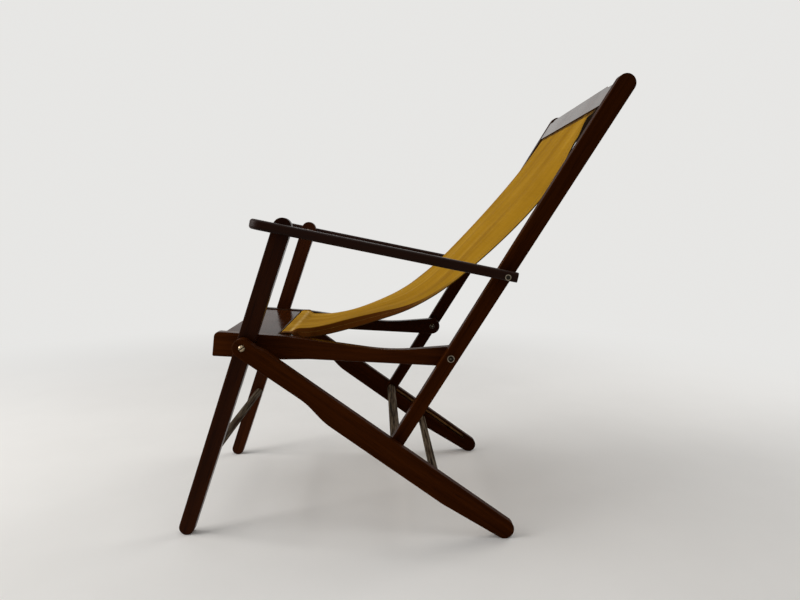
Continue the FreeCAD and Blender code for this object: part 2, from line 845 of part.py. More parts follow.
def arm_pivot():
    """Bolt with a ringed head, nut and washer that join stile and arm."""
    face = outer_in + size("arm_wide") + size("head_play")
    end = face + size("rivet_head_tall")
    shank = rod("arm_bolt_shank", middle_in - size("arm_bolt_tail"), face, size("arm_bolt_radius"),
                arm_y, arm_z)
    head = rod("arm_bolt_head", face, end, size("arm_ring_radius"), arm_y, arm_z)
    solid = combine("Part::MultiFuse", "arm_bolt_solid", [shank, head])
    bore = rod("arm_bolt_bore", end - size("rivet_head_tall") / 2, end + size("cut_past"),
               size("rivet_bore_radius"), arm_y, arm_z)
    bolt = combine("Part::Cut", "arm_bolt", [solid, bore])
    nut_end = middle_in - size("inner_head_tall")
    nut = ring("arm_nut", nut_end, middle_in, size("inner_head_radius"), arm_hole, arm_y, arm_z)
    washer = ring("arm_washer", middle_out, middle_out + size("washer_thick"), size("arm_washer_radius"),
                  arm_hole, arm_y, arm_z)
    return [pair("arm_pivot_bolts", bolt), pair("arm_pivot_nuts", nut),
            pair("arm_pivot_washers", washer)]


# Foot bar

def foot_bar():
    end = middle_in - size("foot_bar_play")
    bar = rod("foot_bar_rod", -end, end, size("foot_bar_radius"), foot_y, foot_z)
    inner = end - size("foot_pin_sunk")
    past = end + size("cut_past")
    sockets = []
    for sign in SIDES.values():
        start, stop = (inner, past) if sign > 0 else (-past, -inner)
        sockets.append(rod("foot_bar_socket_%d" % len(sockets), start, stop,
                           size("foot_pin_radius"), foot_y, foot_z))
    holes = combine("Part::Compound", "foot_bar_sockets", sockets)
    bar = combine("Part::Cut", "foot_bar", [bar, holes])
    tip = outer_in + size("groove_deep") - size("foot_bar_play")
    pin = rod("foot_pin", inner, tip, size("foot_pin_radius"), foot_y, foot_z)
    return [bar, pair("foot_bar_pins", pin)]


# Rods with round tenons

def stretcher(label, inside, radius, y, z):
    end = inside + size("tenon_long")
    long_rod = rod(label + "_rod", -inside, inside, radius, y, z)
    tenon = rod(label + "_tenon", -end, end, size("tenon_radius"), y, z)
    return combine("Part::MultiFuse", label, [long_rod, tenon])


def standing(label, blank):
    """A leg with its foot cut flat on the floor."""
    return combine("Part::Cut", label, [blank, floor])


# Rear legs

def rear_leg(name, side):
    sweep = size("rear_sweep_radius")
    bend = size("rear_taper_radius")
    shoulder = size("rear_shoulder_radius")
    rounds = [
        (0, 0, size("rear_head_radius")),
        (size("rear_sweep_along"), -size("rear_under") - sweep, -sweep),
        (size("rear_belly_along"), sweep - size("rear_belly"), sweep),
        (size("rear_taper_along"), bend - size("rear_belly"), bend),
        (size("rear_foot_along"), size("rear_foot_rise"), size("rear_foot_radius")),
        (size("rear_shoulder_along"), size("rear_top_rise") - shoulder, shoulder),
        (size("rear_neck_along"), size("rear_neck_rise"), -size("rear_neck_radius")),
    ]
    along, rise = groove_start()
    play = size("foot_pin_radius") + size("groove_play")
    groove = [(along, rise, play), (along + size("groove_travel"), rise, play)]
    socket = [(size("rear_rod_along"), -size("rear_rod_under"), mortise[1])]
    pockets = [(size("groove_deep"), groove), (mortise[0], socket)]
    label = "rear_leg_" + name
    blank = side_member(label + "_blank", side, rounds, [(0, 0, pivot_hole)], outer_in,
                        front_y, front_z, size("rear_drop"), pockets)
    return standing(label, blank)


def groove_start():
    """Where the foot bar's axis stands on the rear leg with the chair open."""
    drop = size("rear_drop")
    along = (foot_y - front_y) * cosine(drop) - (foot_z - front_z) * sine(drop)
    rise = (foot_y - front_y) * sine(drop) + (foot_z - front_z) * cosine(drop)
    return along, rise


def rear_pivot():
    """The outer half of the front pivot: a bolt with a slotted domed head, and its washer."""
    shank = rod("rear_shank", outer_in + size("head_play"), outer_out, size("bolt_radius"),
                front_y, front_z)
    head = dome_out("rear_head", outer_out, size("dome_radius"), size("dome_tall"), front_y, front_z)
    solid = combine("Part::MultiFuse", "rear_bolt_solid", [shank, head])
    slot = doc.addObject("Part::Box", "rear_bolt_slot")
    bind(slot, "Length", size("dome_tall"))
    bind(slot, "Width", size("dome_radius") * 2)
    bind(slot, "Height", size("dome_slot"))
    turn = size("dome_slot_turn")
    half = size("dome_slot") / 2
    slot_y = front_y - size("dome_radius") * cosine(turn) + half * sine(turn)
    slot_z = front_z - size("dome_radius") * sine(turn) - half * cosine(turn)
    place(slot, outer_out + size("dome_tall") - size("dome_slot"), slot_y, slot_z, turn, (1, 0, 0))
    bolt = combine("Part::Cut", "rear_bolt", [solid, slot])
    washer = ring("rear_washer", outer_in - size("washer_thick"), outer_in, size("washer_radius"),
                  pivot_hole, front_y, front_z)
    return [pair("rear_pivot_bolts", bolt), pair("rear_pivot_washers", washer)]


# Front legs

def front_leg(name, side):
    rounds = [(0, -size("leg_down"), size("leg_foot_radius")),
              (0, size("leg_up"), size("leg_top_radius"))]
    holes = [(0, 0, pivot_hole), (0, size("leg_to_arm"), arm_hole)]
    socket = [(size("front_rod_behind"), -size("front_rod_down"), mortise[1])]
    label = "front_leg_" + name
    blank = side_member(label + "_blank", side, rounds, holes, middle_in, front_y, front_z,
                        size("leg_lean"), [(mortise[0], socket)])
    return standing(label, blank)


def arm_front_pivot():
    """Screw through the leg into a threaded insert in the arm, with a washer between them."""
    spot = (arm_front_y, arm_front_z)
    shank = rod("arm_screw_shank", middle_in, middle_out + size("head_play"), size("arm_bolt_radius"),
                *spot)
    head = dome_in("arm_screw_head", middle_in, size("inner_head_radius"), size("inner_head_tall"), *spot)
    screw = combine("Part::MultiFuse", "arm_screw", [shank, head])
    washer = ring("arm_front_washer", middle_out, middle_out + size("washer_thick"),
                  size("arm_washer_radius"), arm_hole, *spot)
    insert = rod("arm_insert", outer_in, outer_in + size("insert_long"), size("insert_radius"), *spot)
    return [pair("arm_front_screws", screw), pair("arm_front_washers", washer),
            pair("arm_front_inserts", insert)]


# Arms

def arm(name, side):
    """A flat arm drawn in plan from its rear pivot, with its outer nose corner rounded wide."""
    forward = arm_y - arm_front_y
    down = arm_front_z - arm_z
    reach = root(forward * forward + down * down)
    wide = size("arm_wide")
    outer = size("arm_nose_outer")
    inner = size("arm_nose_inner")
    tail = size("arm_behind")
    tip = -(reach + size("arm_nose"))
    rounds = [(inner, tip + inner, inner), (wide - outer, tip + outer, outer),
              (wide, tail, 0), (0, tail, 0)]
    if side < 0:
        rounds = [(-across, up, radius) for across, up, radius in reversed(rounds)]
    body = new_body("arm_" + name)
    low = size("arm_rise") - size("arm_thick") / 2
    outline = new_sketch(body, "XY_Plane", "outline", low)
    belt(outline, rounds)
    blank = pad(body, outline, size("arm_thick"))

    def long_edge(edge):
        level = lies_flat(edge, 2, low.value) or lies_flat(edge, 2, low.value + size("arm_thick").value)
        return level and not lies_flat(edge, 1, tail.value)

    soften(body, blank, size("arm_edge"), long_edge)
    insert_hole = size("insert_radius") + size("bolt_play")
    holes = [(term(0), arm_hole, wide), (-reach, insert_hole, size("insert_long"))]
    for number, (y, radius, depth) in enumerate(holes):
        face = new_sketch(body, "YZ_Plane", "hole_%d" % number)
        hole(face, y, 0, radius)
        pocket(body, face, depth, side > 0)
    place(body, outer_in if side > 0 else -outer_in, arm_y, arm_z, arc_tangent(down / forward))
    return body


# The whole chair

nodes = []
for side_name, side_sign in SIDES.items():
    for make in (seat_rail, back_stile, rear_leg, front_leg, arm):
        nodes.append(make(side_name, side_sign))
nodes.append(cross_board("seat_front_board", board_end(), size("front_board_y"), size("front_board_z"),
                         size("front_board_tilt")))
nodes.append(cross_board("canvas_front_bar", bar_end(), size("front_bar_y"), size("front_bar_z")))
nodes.append(crest_rail())
nodes.append(stretcher("front_stretcher", middle_in, size("front_rod_radius"),
                       *on_front_leg(-size("front_rod_down"), size("front_rod_behind"))))
nodes.append(stretcher("rear_stretcher", outer_in, size("rear_rod_radius"),
                       *on_rear_leg(size("rear_rod_along"), -size("rear_rod_under"))))
nodes += foot_bar()
nodes += front_pivot()
nodes += back_pivot()
nodes += rear_pivot()
nodes += arm_pivot()
nodes += arm_front_pivot()
nodes.append(canvas_sling())
nodes.append(tack_row("crest_tacks", crest_tack_line()))
nodes.append(tack_row("front_bar_tacks", bar_tack_line()))
doc.recompute()

for item in doc.Objects:
    if "Invalid" in item.State or "Error" in item.State:
        raise RuntimeError("%s failed: %s" % (item.Name, item.State))
for node in nodes:
    if node.Shape.isNull() or not node.Shape.isValid():
        raise RuntimeError("%s has no valid shape" % node.Label)

os.makedirs("parts", exist_ok=True)
whole = FreeCAD.BoundBox()
for node in nodes:
    node.Shape.exportStep("parts/%s.step" % node.Label)
    whole.add(node.Shape.optimalBoundingBox(False, False))
print(len(nodes), "parts")
print("box X %.2f to %.2f, Y %.2f to %.2f, Z %.2f to %.2f"
      % (whole.XMin, whole.XMax, whole.YMin, whole.YMax, whole.ZMin, whole.ZMax))
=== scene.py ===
import json
import math

import bpy
import numpy as np
from mathutils import Matrix, Vector


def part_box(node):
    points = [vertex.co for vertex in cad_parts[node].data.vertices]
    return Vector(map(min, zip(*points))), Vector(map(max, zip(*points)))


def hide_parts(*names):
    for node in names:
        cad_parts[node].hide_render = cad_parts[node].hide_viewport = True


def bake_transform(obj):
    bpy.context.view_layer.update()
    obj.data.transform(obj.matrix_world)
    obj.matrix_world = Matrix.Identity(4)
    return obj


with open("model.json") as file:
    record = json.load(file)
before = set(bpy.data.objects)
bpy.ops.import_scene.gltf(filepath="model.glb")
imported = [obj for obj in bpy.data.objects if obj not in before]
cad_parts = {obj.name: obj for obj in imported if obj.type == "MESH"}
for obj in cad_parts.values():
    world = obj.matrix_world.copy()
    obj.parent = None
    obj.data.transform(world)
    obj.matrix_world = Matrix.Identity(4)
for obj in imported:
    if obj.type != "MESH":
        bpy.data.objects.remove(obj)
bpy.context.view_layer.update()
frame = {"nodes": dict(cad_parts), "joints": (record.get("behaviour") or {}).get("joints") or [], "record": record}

# Axes: X runs across the chair with its left at +X, the front faces -Y, Z is up. Sizes are in metres


def side_view(place):
    """Y and Z of a place, to a tenth of a millimetre."""
    return np.round(np.array(place)[1:], 4)


# Pivots in side view, and the middle and half sizes of the front bar that the canvas goes round
PIVOTS = {joint["name"]: side_view(joint["pos_m"]) for joint in frame["joints"] if joint["type"] == "hinge"}
FRONT_PIVOT = PIVOTS["front_leg_fold"]
BACK_PIVOT = PIVOTS["back_fold"]
ARM_PIVOT = PIVOTS["arm_fold"]
bar_low, bar_high = (np.array(corner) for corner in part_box("canvas_front_bar"))
BAR = side_view((bar_low + bar_high) / 2)
BAR_HALF = side_view((bar_high - bar_low) / 2)
# How the members stand in side view, in degrees
STILE_LEAN = 31.3
REAR_DROP = 35.4
LEG_LEAN = 18.08
RAIL_TURN = 93.3
ARM_TURN = -79.1
DOME_SLOT_TURN = 35

# Canvas: its clearance round the bar, the half widths of its cut at the bar, behind it and at the crest
# rail, where the full width is reached behind the bar's middle, and how far it lies to the right on top
CANVAS_CLEAR = 0.0024
HALF_FRONT = 0.193
HALF_SEAT = 0.2085
HALF_TOP = 0.205
FULL_WIDTH = 0.060
SIDEWAYS_TOP = -0.006
# Its wrap round the bar: where it ends under the bar, and the runs before and behind the crease
WRAP_END = 0.005
CREASE_BEFORE = 0.006
CREASE_BEHIND = 0.010
# Its form across, as shares of the half width: where the hems fold down, how soft that is, and where the
# shallow hollow on each side of the middle ends. Then that hollow's depth
FOLD = 0.902
FOLD_SOFT = 0.006
RIDGE = 0.67
RIPPLE = 0.003
# Its left edge below the crest rail: how far it stands forward, between which distances up the stile that
# grows and fades, and over which shares of the half width. Then the share from which its hem turns back, and
# the distances up the stile over which that grows
EDGE_LIFT = 0.0068
LIFT_GROWS = (0.44, 0.49)
LIFT_FADES = (0.568, 0.588)
LIFT_ACROSS = (0.75, 0.93)
TURN_BACK = 0.961
TURN_GROWS = (0.508, 0.532)
# Where it meets the crest rail and where it ends in the groove, as distances up and before the stile
CREST_MOUTH = 0.586
CREST_TUCK = 0.601
CREST_FORWARD = 0.015
# Corners that its side profile is rounded into: Y, Z, how far its sides fall back there, how far its
# hems hang down, and how far its left side lies behind the middle
SAG = np.array([(-0.219, 0.4200, 0.000, 0.0200, -0.0090), (-0.170, 0.4225, 0.001, 0.0205, -0.0120),
                (-0.085, 0.4470, 0.004, 0.0215, -0.0140), (0.055, 0.4925, 0.000, -0.0030, 0.0065),
                (0.180, 0.6280, 0.022, -0.0020, 0.0080), (0.290, 0.7480, 0.018, 0.0000, 0.0110)])
# Its mesh: rows along it, columns over a hem in millimetres from the edge, and the columns inside those
ROWS = 300
HEM_COLUMNS = (0, 0.25, 0.7, 1.4, 3, 5.5, 8, 9.4, 10.2, 11, 11.8, 12.6, 13.6, 14.4, 15.2, 16.4,
               18, 19, 19.7, 20.4, 21.1, 22, 23.5)
INNER_FROM = 0.027
INNER_COLUMNS = 27
# Least share of a column's width that is left across where the cloth drops steeply
LEVEL_LEAST = 0.25
# Its small folds: where they start and end along it, how far those at the tacks reach and how soon they
# begin as shares of that way, their steps across, how they sway and drift sideways, and their heights
FREE_FROM = 0.062
FREE_TO_END = 0.015
TOP_REACH = (0.11, 0.03)
FOOT_REACH = (0.08, 0.02)
TACK_STEP = 0.35 / 6
SLACK_STEP = 0.083
DRIFT_STEP = 0.139
SLACK_SWAY = (1.4, 3.1)
DRIFT_SWAY = (0.6, 2.2)
TACK_TOP_RISE = 0.0015
TACK_FOOT_RISE = 0.0012
SLACK_RISE = 0.0005
DRIFT_RISE = 0.0009
# Its thickness, its rounded rim with the share of the thickness that is left at the edge, and the inner
# border and rise of its double hems
CLOTH = 0.0010
RIM = 0.0012
RIM_LEAST = 0.05
HEM_END = (0.0136, 0.0152)
HEM_RISE = 0.0003
# Its stitches: their line's distance from the edge and from the ends, their step, length, arch, half
# thickness and its share at the tips, the rings and sides of their mesh, how far ahead their direction is
# taken, how wide and deep they pull the cloth in above and below, and how much that varies
STITCH_IN = 0.0110
STITCH_FROM = 0.045
STITCH_TO_END = 0.017
STITCH_STEP = 0.0042
STITCH_LONG = 0.0031
STITCH_ARCH = 0.00030
STITCH_THICK = 0.00040
STITCH_TIP = 0.3
STITCH_RINGS = 7
STITCH_SIDES = 6
LOOK_AHEAD = 0.001
PULL_WIDE = 0.0010
PULL_ABOVE = 0.00045
PULL_BELOW = 0.00035
PUCKER = 0.25

# Noise along the wood's grain: how it is stretched along the member, its scale, detail, roughness and
# distortion
FIGURE_NOISE = (0.055, 26, 5, 0.6, 0.9)
STREAK_NOISE = (0.03, 190, 4, 0.6)
PORE_NOISE = (0.018, 900, 2)
BARE_NOISE = (0.06, 190, 3, 0.6)
CRACK_NOISE = (0.03, 210, 3, 0.6, 0.4)
# Edges that are rubbed pale and carry a painted highlight, the more where they face up: how far they
# reach, and the cosines of the turn where they begin and are full
EDGE_REACH = 0.003
EDGE_TURN = (0.995, 0.90)
# Linear colours of the wood: stops of its figure, the tint of its darker lines, and its pores, its edges
# rubbed pale with a painted highlight, and bare, cracked and rubbed places
WOOD_FIGURE = ((0.30, (0.0270, 0.0064, 0.0010)), (0.52, (0.0410, 0.0096, 0.0014)),
               (0.74, (0.0600, 0.0142, 0.0020)))
WOOD_LINES = ((0.36, (0.45, 0.42, 0.42)), (0.60, (1, 1, 1)))
PORE = (0.003, 0.0012, 0.0008, 1)
WORN_AND_HIGHLIT_EDGE = (0.150, 0.085, 0.052, 1)
BARE_WOOD = ((0.36, (0.038, 0.025, 0.015)), (0.50, (0.085, 0.062, 0.041)), (0.64, (0.155, 0.120, 0.082)))
CRACK = (0.011, 0.007, 0.004, 1)
RUBBED_WOOD = (0.36, 0.175, 0.060, 1)
# Lower side of the rear leg's groove: its middle and reach across the chair, across the leg and along it
GROOVE_IN = (0.2497, 0.0060)
GROOVE_ACROSS = (0.0105, 0.0025)
GROOVE_ALONG = (-0.5014, 0.1340)

# Scale of the canvas's weave, and where the canvas is marked: how far its crease is rubbed pale and
# given a painted highlight, the inner border of the painted shade on its hanging seat hems and where along
# it that fades, its dirty edges, the border of the painted shade at its end under the crest rail, and the
# part of its left hem that is turned back and painted dark as shade, as distances from the end with its
# width and soft border
WEAVE_SCALE = 262
CREASE_REACH = (0.0060, 0.0015)
HEM_BORDER = (0.0212, 0.0196)
HEM_FADES = (0.44, 0.31)
EDGE_DIRT = (0.0022, 0.0004)
END_SHADE = (0.0178, 0.0166)
TURNED_RUN = (0.120, 0.045)
TURNED_WIDE = 0.0085
TURNED_BORDER = (-0.0003, 0.0005)
# Linear colours of the canvas: stops of its streaks, fading and yarns, the gaps of the weave, the crease
# rubbed pale with its painted highlight, the painted shade of the hanging hems, the dirty edges together
# with the painted shade at the end, and the painted shade of the turned-back hem. Then those of its thread
CANVAS_STREAKS = ((0.30, (0.300, 0.142, 0.0050)), (0.50, (0.400, 0.204, 0.0090)),
                  (0.72, (0.515, 0.285, 0.0300)))
CANVAS_FADE = ((0.32, (0.86, 0.84, 0.80)), (0.66, (1, 1, 1)))
CANVAS_YARN = ((0.36, (0.80, 0.78, 0.72)), (0.60, (1, 1, 1)))
WEAVE_GAP = (0.16, 0.070, 0.006, 1)
CREASE_WORN_AND_HIGHLIT = (0.62, 0.42, 0.15, 1)
HANGING_HEM_SHADE = (0.075, 0.017, 0.0006, 1)
CANVAS_DIRT_AND_SHADE = (0.060, 0.026, 0.006, 1)
HEM_SHADE = (0.012, 0.006, 0.003, 1)
THREAD = ((0.35, (0.17, 0.072, 0.007)), (0.65, (0.30, 0.150, 0.018)))

# Pivots: span of the rings of brightness, and a slot's half width with its soft edge and its dark colour
RING_SPAN = 0.010
SLOT_HALF = (0.0013, 0.0009)
SLOT_DARK = (0.010, 0.007, 0.005, 1)

# Stage: colour of the background, the floor's colours, corners and radii, where it fades out, and the colour
# and strength of the even light
PALE = (0.80, 0.795, 0.78, 1)
FLOOR_MOTTLE = ((0.35, (0.85, 0.835, 0.81)), (0.65, (0.88, 0.865, 0.84)))
FLOOR_CORNERS = 96
FLOOR_RADII = (2, 9)
FLOOR_FADE = (0.7, 2.8)
WORLD_LIGHT = (0.97, 0.98, 1.0, 1)
WORLD_STRENGTH = 0.24

# Lamps: place, target, power in watts, width, height and colour
LAMPS = {
    "window": ((0.5, -2.9, 1.8), (0, 0, 0.5), 68, 2.2, 1.8, (1.0, 0.985, 0.96)),
    "overhead": ((0.0, 0.2, 3.1), (0, 0.1, 0.4), 22, 3.0, 3.0, (1.0, 0.99, 0.97)),
    "fill": ((-1.6, 2.4, 1.8), (0, 0, 0.5), 30, 2.0, 1.6, (1.0, 0.99, 0.97)),
}

# Camera: its place, how it is turned in degrees, and its focal length as a share of the picture's width
EYE = (1.4488, -0.0475, 0.6302)
YAW_PITCH_ROLL = (2.094, 6.295, 0.655)
SENSOR = 36
FOCAL_SHARE = 600.8 / 800


# Canvas form

UP_STILE = np.array((math.sin(math.radians(STILE_LEAN)), math.cos(math.radians(STILE_LEAN))))


def on_stile(up, forward):
    """A point beside the back stile, in side view."""
    ahead = np.array((-UP_STILE[1], UP_STILE[0]))
    return BACK_PIVOT + up * UP_STILE + forward * ahead


def rounded(points, times=5):
    """Cuts the corners of an open line until it is a smooth curve. Its ends stay."""
    for _ in range(times):
        near = 0.75 * points[:-1] + 0.25 * points[1:]
        far = 0.25 * points[:-1] + 0.75 * points[1:]
        inner = np.stack([near, far], axis=1).reshape(-1, 2)
        points = np.vstack([points[:1], inner, points[-1:]])
    return points


def lengths(line):
    """Distance along a line at each of its points."""
    steps = np.linalg.norm(np.diff(line, axis=0), axis=1)
    return np.concatenate([[0.0], np.cumsum(steps)])


def along_line(line, at):
    """Points of a line at these distances along it."""
    run = lengths(line)
    return np.column_stack([np.interp(at, run, line[:, axis]) for axis in range(line.shape[1])])


def canvas_line(place):
    """Upper side of the canvas in side view, from under the front bar into the crest rail's groove.
    place is -1 at the canvas's right edge, 0 in the middle and 1 at its left edge."""
    reach = abs(place)
    hollow = RIPPLE * (1 - math.cos(2 * math.pi * reach / RIDGE)) / 2 if reach < RIDGE else 0.0
    fold = (reach - FOLD + math.hypot(reach - FOLD, FOLD_SOFT)) / 2 / (1 - FOLD)
    fall, hang, skew = SAG[:, 2:].T
    shift = hollow + fall * reach ** 4 + hang * fold + skew * place
    front, low = BAR - BAR_HALF - CANVAS_CLEAR
    high = BAR[1] + BAR_HALF[1] + CANVAS_CLEAR
    back = BAR[0] + BAR_HALF[0]
    crease = np.array((back, high))
    mouth = on_stile(CREST_MOUTH, CREST_FORWARD)
    spots = np.vstack([crease, SAG[:, :2], mouth])
    chords = spots[2:] - spots[:-2]
    chords /= np.linalg.norm(chords, axis=1)[:, None]
    behind = np.column_stack([chords[:, 1], -chords[:, 0]])
    sag = SAG[:, :2] + behind * shift[:, None]
    towards = sag[0] - crease
    towards /= np.linalg.norm(towards)
    wrap = [(back - WRAP_END, low), (front, low), (front, high), crease - (CREASE_BEFORE, 0), crease,
            crease + CREASE_BEHIND * towards]
    tucked = on_stile(CREST_TUCK, CREST_FORWARD)
    line = rounded(np.vstack([wrap, sag, mouth, tucked]))
    return along_line(line, np.linspace(0, lengths(line)[-1], ROWS))


def stations():
    """Places across the canvas from -1 to 1, close together over the hems, and each one's distance
    from the nearer edge in metres."""
    half = (HALF_SEAT + HALF_TOP) / 2
    inner = np.linspace(INNER_FROM, half, INNER_COLUMNS)
    inset = np.concatenate([np.array(HEM_COLUMNS) / 1000, inner])
    right = -1 + inset / half
    return np.concatenate([right, -right[-2::-1]]), np.concatenate([inset, inset[-2::-1]])


def fading(away, reach, start):
    """0 at the very end of the canvas, then soon high, and fading with the distance from that end."""
    return np.exp(-away / reach) * (1 - np.exp(-away / start))


def gathers(across, span):
    """Small folds that run lengthwise: pulled by the tacks at both ends, and slack between. span runs from
    0 at the bar to 1 at the crest rail."""
    tacks = np.cos(2 * math.pi * across / TACK_STEP)
    top = fading(1 - span, *TOP_REACH)
    foot = fading(span, *FOOT_REACH)
    sway = SLACK_SWAY[0] * np.sin(SLACK_SWAY[1] * span)
    slack = np.sin(2 * math.pi * across / SLACK_STEP + sway) * np.sin(math.pi * span) ** 2
    sway = DRIFT_SWAY[0] + DRIFT_SWAY[1] * span
    drift = np.sin(2 * math.pi * across / DRIFT_STEP + sway) * np.sin(math.pi * span)
    pulled = TACK_TOP_RISE * tacks * top + TACK_FOOT_RISE * tacks * foot
    return pulled + SLACK_RISE * slack + DRIFT_RISE * drift


def edge_lift(lines, places):
    """How far the canvas stands forward beside its left edge just below the crest rail, where its hem
    turns back."""
    up = (lines - BACK_PIVOT) @ UP_STILE
    below_crest = smooth_step(up, *LIFT_GROWS) * (1 - smooth_step(up, *LIFT_FADES))
    reach = np.maximum(places, 0)
    turned = smooth_step(up, *TURN_GROWS) * np.clip((reach - TURN_BACK) / (1 - TURN_BACK), 0, 1)
    return EDGE_LIFT * below_crest * (smooth_step(reach, *LIFT_ACROSS) - turned)


def surface_normals(grid):
    """Unit normals of a grid of points, on its upper side."""
    down = np.gradient(grid, axis=0)
    over = np.gradient(grid, axis=1)
    normal = np.cross(over, down)
    return normal / np.linalg.norm(normal, axis=2)[:, :, None]


def smooth_step(value, low, high):
    """0 up to low and 1 from high on, with a smooth rise between."""
    t = np.clip((value - low) / (high - low), 0, 1)
    return t * t * (3 - 2 * t)


def spread(lines, places):
    """The points' places across the chair and on the flat cut. The cloth keeps its width where it drops."""
    centre_column = len(places) // 2
    front = BAR[0] - BAR_HALF[0] - CANVAS_CLEAR
    back = np.clip((lines[:, centre_column, 0] - front) / (lines[-1, 0, 0] - front), 0, 1)[:, None]
    behind_bar = smooth_step(lines[:, centre_column, 0, None], BAR[0] + BAR_HALF[0], BAR[0] + FULL_WIDTH)
    half = HALF_FRONT + (HALF_SEAT - HALF_FRONT) * behind_bar + (HALF_TOP - HALF_SEAT) * back
    cut = half * places
    step = np.diff(cut, axis=1)
    drop = np.linalg.norm(np.diff(lines, axis=1), axis=2)
    level = np.sqrt(np.maximum(step ** 2 - drop ** 2, (LEVEL_LEAST * step) ** 2))
    across = np.hstack([np.zeros_like(back), np.cumsum(level, axis=1)])
    across = across - across[:, centre_column, None] + SIDEWAYS_TOP * back ** 2
    return across, cut


def layer_heights(middle, inset):
    """Heights of the cloth's upper and lower side over its surface: hems are double, and stitches pull
    both sides in."""
    hem = 1 - smooth_step(inset, *HEM_END)
    pull = np.exp(-((inset - STITCH_IN) / PULL_WIDE) ** 2)
    pucker = 1 - PUCKER + PUCKER * np.cos(math.pi * middle / STITCH_STEP)
    upper = HEM_RISE * hem - PULL_ABOVE * pull * pucker[:, None]
    lower = -CLOTH * (1 + hem) + PULL_BELOW * pull * pucker[:, None]
    rim = np.sqrt(1 - (1 - np.clip(inset / RIM, 0, 1)) ** 2) * (1 - RIM_LEAST) + RIM_LEAST
    centre = (upper + lower) / 2
    thick = (upper - lower) / 2 * rim
    return centre + thick, centre - thick


def canvas_layers():
    """Upper and lower side of the canvas as grids of points, with their normals, the flat places of the
    points and each column's distance from the edge."""
    places, inset = stations()
    lines = np.stack([canvas_line(place) for place in places], axis=1)
    across, cut = spread(lines, places)
    grid = np.dstack([across, lines])
    middle = lengths(lines[:, len(places) // 2])
    free = np.clip((middle - FREE_FROM) / (middle[-1] - FREE_TO_END - FREE_FROM), 0, 1)
    rise = gathers(across, free[:, None]) + edge_lift(lines, places)
    grid = grid + surface_normals(grid) * rise[:, :, None]
    normals = surface_normals(grid)
    top, bottom = (grid + normals * height[:, :, None] for height in layer_heights(middle, inset))
    flat = np.dstack([cut, np.repeat(middle[:, None], len(places), axis=1)])
    return top, bottom, normals, flat, inset


def mesh_object(name, points, faces, flat=None):
    """A smooth object of these points and faces, with the points' flat places as its UV map."""
    mesh = bpy.data.meshes.new(name)
    mesh.from_pydata(points.tolist(), [], faces.tolist())
    mesh.update()
    mesh.polygons.foreach_set("use_smooth", np.ones(len(mesh.polygons), bool))
    if flat is not None:
        corner = np.empty(len(mesh.loops), np.int32)
        mesh.loops.foreach_get("vertex_index", corner)
        layer = mesh.uv_layers.new(name="flat_cut")
        layer.data.foreach_set("uv", flat[corner].astype(np.float32).ravel())
    piece = bpy.data.objects.new(name, mesh)
    bpy.context.scene.collection.objects.link(piece)
    return piece


def canvas_piece(top, bottom, flat, inset):
    """The cloth as one closed skin."""
    rows, columns = top.shape[:2]
    number = np.arange(rows * columns).reshape(rows, columns)
    under = number + rows * columns

    def quads(a, b, c, d):
        return np.stack([a.ravel(), b.ravel(), c.ravel(), d.ravel()], axis=1)

    faces = np.vstack([
        quads(number[:-1, :-1], number[1:, :-1], number[1:, 1:], number[:-1, 1:])[:, ::-1],
        quads(under[:-1, :-1], under[1:, :-1], under[1:, 1:], under[:-1, 1:]),
        quads(number[:-1, 0], number[1:, 0], under[1:, 0], under[:-1, 0]),
        quads(number[:-1, -1], number[1:, -1], under[1:, -1], under[:-1, -1])[:, ::-1],
        quads(number[0, :-1], number[0, 1:], under[0, 1:], under[0, :-1])[:, ::-1],
        quads(number[-1, :-1], number[-1, 1:], under[-1, 1:], under[-1, :-1]),
    ])
    points = np.vstack([top.reshape(-1, 3), bottom.reshape(-1, 3)])
    piece = mesh_object("canvas_cloth", points, faces, np.vstack([flat.reshape(-1, 2)] * 2))
    edge = np.tile(inset, rows * 2).astype(np.float32)
    piece.data.attributes.new("edge_distance", "FLOAT", "POINT").data.foreach_set("value", edge)
    return piece


def stitch_row(line, normals):
    """A row of stitches that lie along a line on the cloth, each one arched out of it."""
    run = lengths(line)
    at = np.arange(STITCH_FROM, run[-1] - STITCH_TO_END, STITCH_STEP)
    centres = along_line(line, at)
    ahead = along_line(line, at + LOOK_AHEAD) - centres
    ahead /= np.linalg.norm(ahead, axis=1)[:, None]
    out = np.column_stack([np.interp(at, run, normals[:, axis]) for axis in range(3)])
    aside = np.cross(ahead, out)
    share = np.linspace(0, 1, STITCH_RINGS)
    turn = np.linspace(0, 2 * math.pi, STITCH_SIDES, endpoint=False)
    place = (share - 0.5) * STITCH_LONG
    rise = STITCH_ARCH * np.sin(math.pi * share)
    thick = STITCH_THICK * (STITCH_TIP + (1 - STITCH_TIP) * np.sin(math.pi * share))
    stem = centres[:, None, :] + ahead[:, None, :] * place[:, None] + out[:, None, :] * rise[:, None]
    round_about = (out[:, None, None, :] * np.cos(turn)[:, None]
                   + aside[:, None, None, :] * np.sin(turn)[:, None])
    points = stem[:, :, None, :] + round_about * thick[:, None, None]
    number = np.arange(points.size // 3).reshape(points.shape[:3])
    following = np.roll(number, -1, axis=2)
    faces = np.stack([number[:, :-1].ravel(), following[:, :-1].ravel(),
                      following[:, 1:].ravel(), number[:, 1:].ravel()], axis=1)
    return points.reshape(-1, 3), faces


def stitching(top, bottom, normals, inset):
    """Both hems' rows of stitches, above and below the cloth."""
    points, faces, count = [], [], 0
    columns = np.flatnonzero(np.isclose(inset, STITCH_IN))
    for column in columns:
        for side, sign in ((top, 1), (bottom, -1)):
            spots, quads = stitch_row(side[:, column], normals[:, column] * sign)
            points.append(spots)
            faces.append(quads + count)
            count += len(spots)
    return mesh_object("canvas_stitching", np.vstack(points), np.vstack(faces))


# Materials

